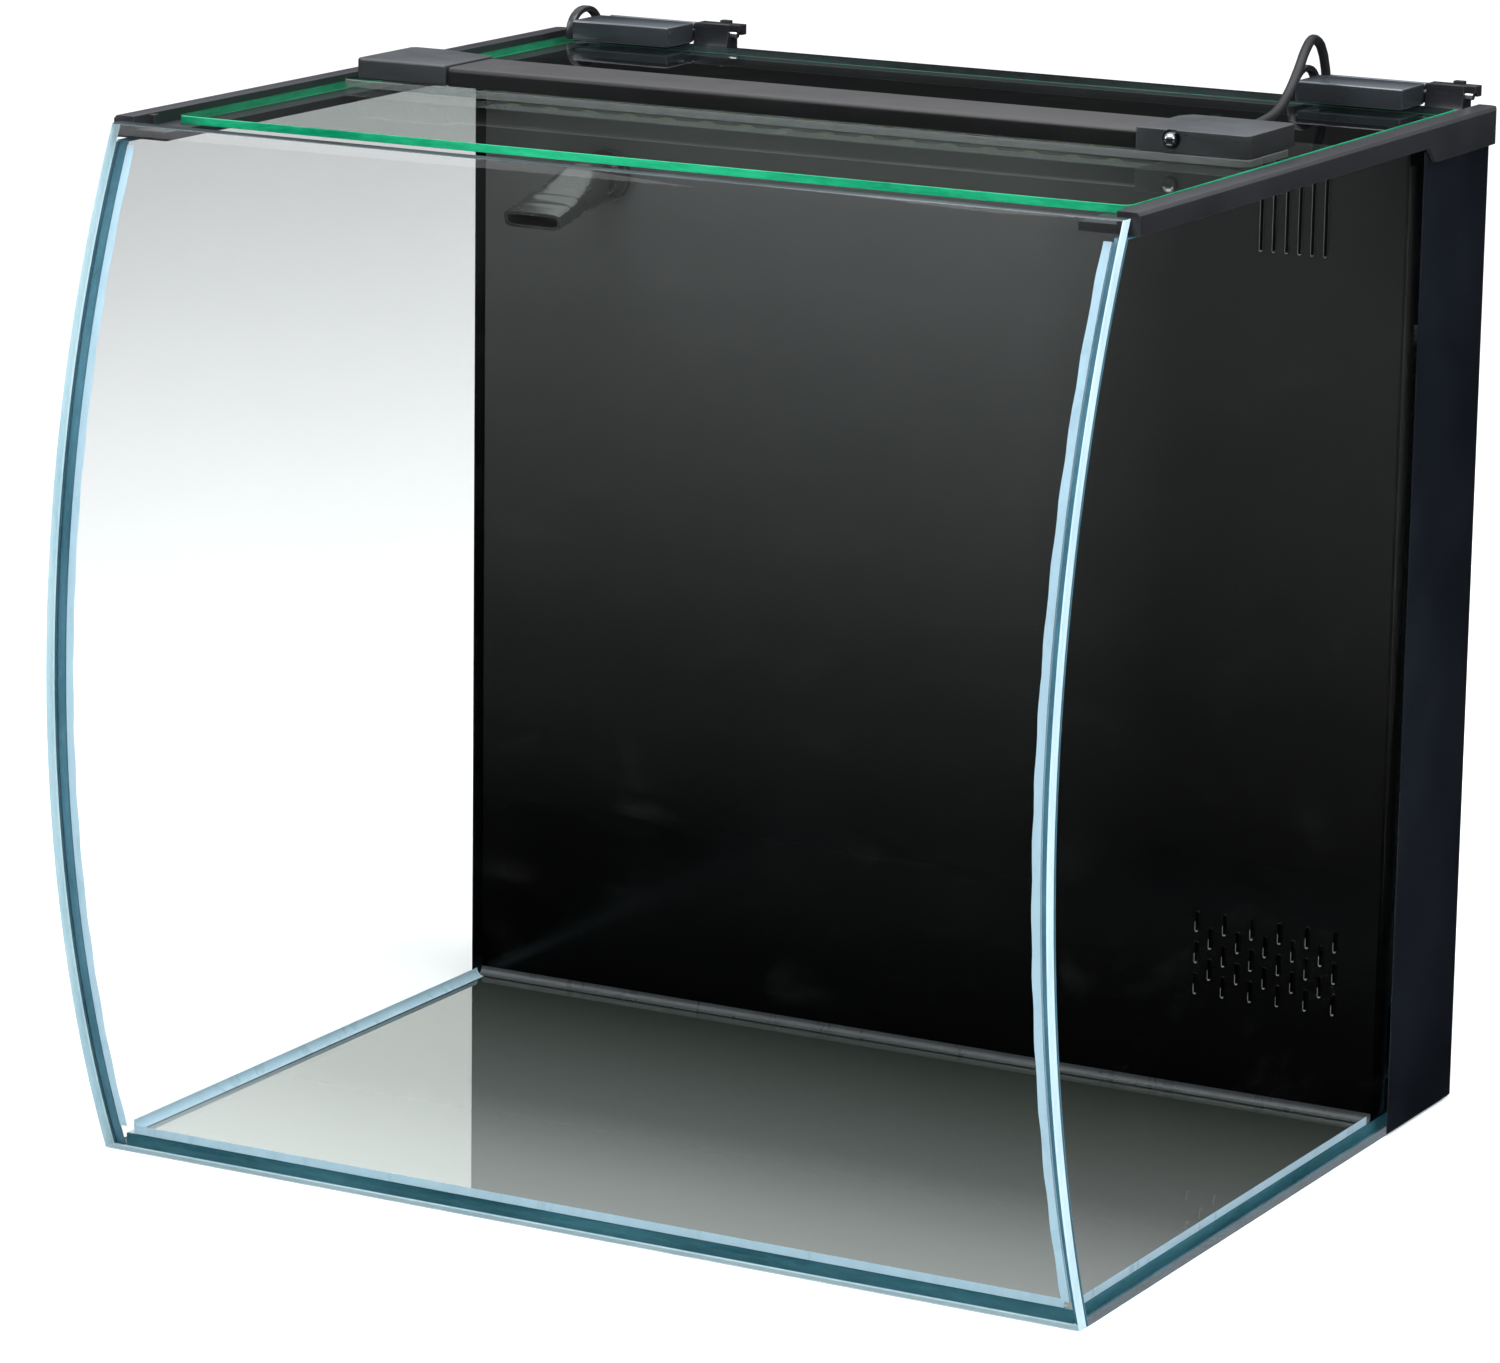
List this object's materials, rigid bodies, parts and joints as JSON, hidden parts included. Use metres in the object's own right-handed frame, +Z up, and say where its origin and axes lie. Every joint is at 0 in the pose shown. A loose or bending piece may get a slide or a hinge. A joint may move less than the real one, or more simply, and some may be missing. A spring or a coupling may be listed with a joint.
{
  "type": "aquarium tank with hinged glass lid, lamp and rear filter",
  "caption": "Clear glass aquarium with a bowed front, black rim, hinged glass lid, flat LED lamp on the lid and a filter compartment behind a black back wall.",
  "frame": {"origin": "middle of the underside of the tank, over everything but the lamp lead", "axes": "+Z up, +X to the tank's right seen from the front, +Y from the bowed front pane to the rear pane"},
  "size_m": [0.406, 0.428, 0.4055],
  "materials": {
    "tank_glass": "clear float glass, polished blue-green edges",
    "lid_glass": "clear glass with a green edge",
    "clear_silicone": "translucent, satin",
    "dark_silicone": "satin",
    "black_film": "smooth film seen through glass",
    "wall_plastic": "fine matt grain",
    "rim_plastic": "satin moulded black",
    "lamp_bar": "satin black extrusion with a grey top",
    "lamp_cap": "semi-gloss moulded black",
    "lamp_lens": "clear polished sheet",
    "led_board": "white solder mask",
    "ir_window": "high gloss",
    "pin_steel": "drawn stainless wire",
    "black_rubber": "matt",
    "cord_jacket": "satin PVC",
    "foam": "open-cell foam",
    "carbon": "grains in a net bag",
    "ceramic": "unglazed ceramic rings",
    "floss": "white polyester wadding",
    "filter_plastic": "satin moulded black",
    "magnet": "coated ferrite"
  },
  "bodies": {
    "tank": {"front_pane": "tank_glass", "left_pane": "tank_glass", "right_pane": "tank_glass", "rear_pane": "tank_glass", "base_pane": "tank_glass", "front_bead_left": "clear_silicone", "front_bead_right": "clear_silicone", "base_bead_left": "clear_silicone", "base_bead_right": "clear_silicone", "base_bead_front": "clear_silicone", "wall_seal": "dark_silicone", "film_left": "black_film", "film_right": "black_film", "film_rear": "black_film", "back_wall": "wall_plastic", "weir_plate": "wall_plastic", "underflow_plate": "wall_plastic", "pump_weir": "wall_plastic", "rim": "rim_plastic", "hinge_base_left": "rim_plastic", "hinge_base_right": "rim_plastic", "outlet_elbow": "rim_plastic", "elbow_nut": "rim_plastic", "hinge_pin_left": "pin_steel", "hinge_pin_right": "pin_steel", "pump_foot_1": "black_rubber", "pump_foot_2": "black_rubber", "pump_foot_3": "black_rubber", "pump_foot_4": "black_rubber", "pump_hose": "black_rubber", "cord_plug": "black_rubber", "lamp_cord": "cord_jacket", "lamp_cord_coil": "cord_jacket", "coarse_sponge": "foam", "carbon_pad": "carbon", "ceramic_media": "ceramic", "filter_floss": "floss", "media_basket": "filter_plastic", "pump_casing": "filter_plastic", "pump_cover": "filter_plastic"},
    "lid": {"lid_glass": "lid_glass", "hinge_clamp_left": "lamp_cap", "hinge_clamp_right": "lamp_cap", "cable_loop_left": "rim_plastic", "cable_loop_right": "rim_plastic", "lamp_bar": "lamp_bar", "lamp_cap_left": "lamp_cap", "lamp_cap_right": "lamp_cap", "lamp_lens": "lamp_lens", "led_board": "led_board", "ir_receiver": "ir_window", "cord_gland": "black_rubber"},
    "nozzle_ball": {"nozzle_ball": "rim_plastic"},
    "nozzle": {"nozzle_bill": "rim_plastic"},
    "impeller": {"pump_impeller": "magnet"},
    "flow_gate": {"flow_gate": "rim_plastic"},
    "basket_handle": {"basket_handle": "rim_plastic"}
  },
  "joints": [
    {"name": "lid_hinge", "type": "hinge", "parent": "tank", "child": "lid", "pos_m": [0, 0.17673, 0.3842], "axis": [-1, 0, 0], "range_deg": [0, 105], "deforming": ["lamp_cord"]},
    {"name": "nozzle_pan", "type": "hinge", "parent": "tank", "child": "nozzle_ball", "pos_m": [-0.139, 0.09923, 0.335], "axis": [0, 0, 1], "range_deg": [-20, 20]},
    {"name": "nozzle_tilt", "type": "hinge", "parent": "nozzle_ball", "child": "nozzle", "pos_m": [-0.139, 0.09923, 0.335], "axis": [1, 0, 0], "range_deg": [-12, 15]},
    {"name": "impeller_spin", "type": "hinge", "parent": "tank", "child": "impeller", "pos_m": [-0.13, 0.14073, 0.034], "axis": [1, 0, 0], "continuous": true},
    {"name": "flow_gate_slide", "type": "slide", "parent": "tank", "child": "flow_gate", "axis": [0, 0, -1], "range_m": [0, 0.012]},
    {"name": "basket_bail", "type": "hinge", "parent": "tank", "child": "basket_handle", "pos_m": [0.002, 0.14223, 0.29], "axis": [1, 0, 0], "range_deg": [0, 90]}
  ]
}
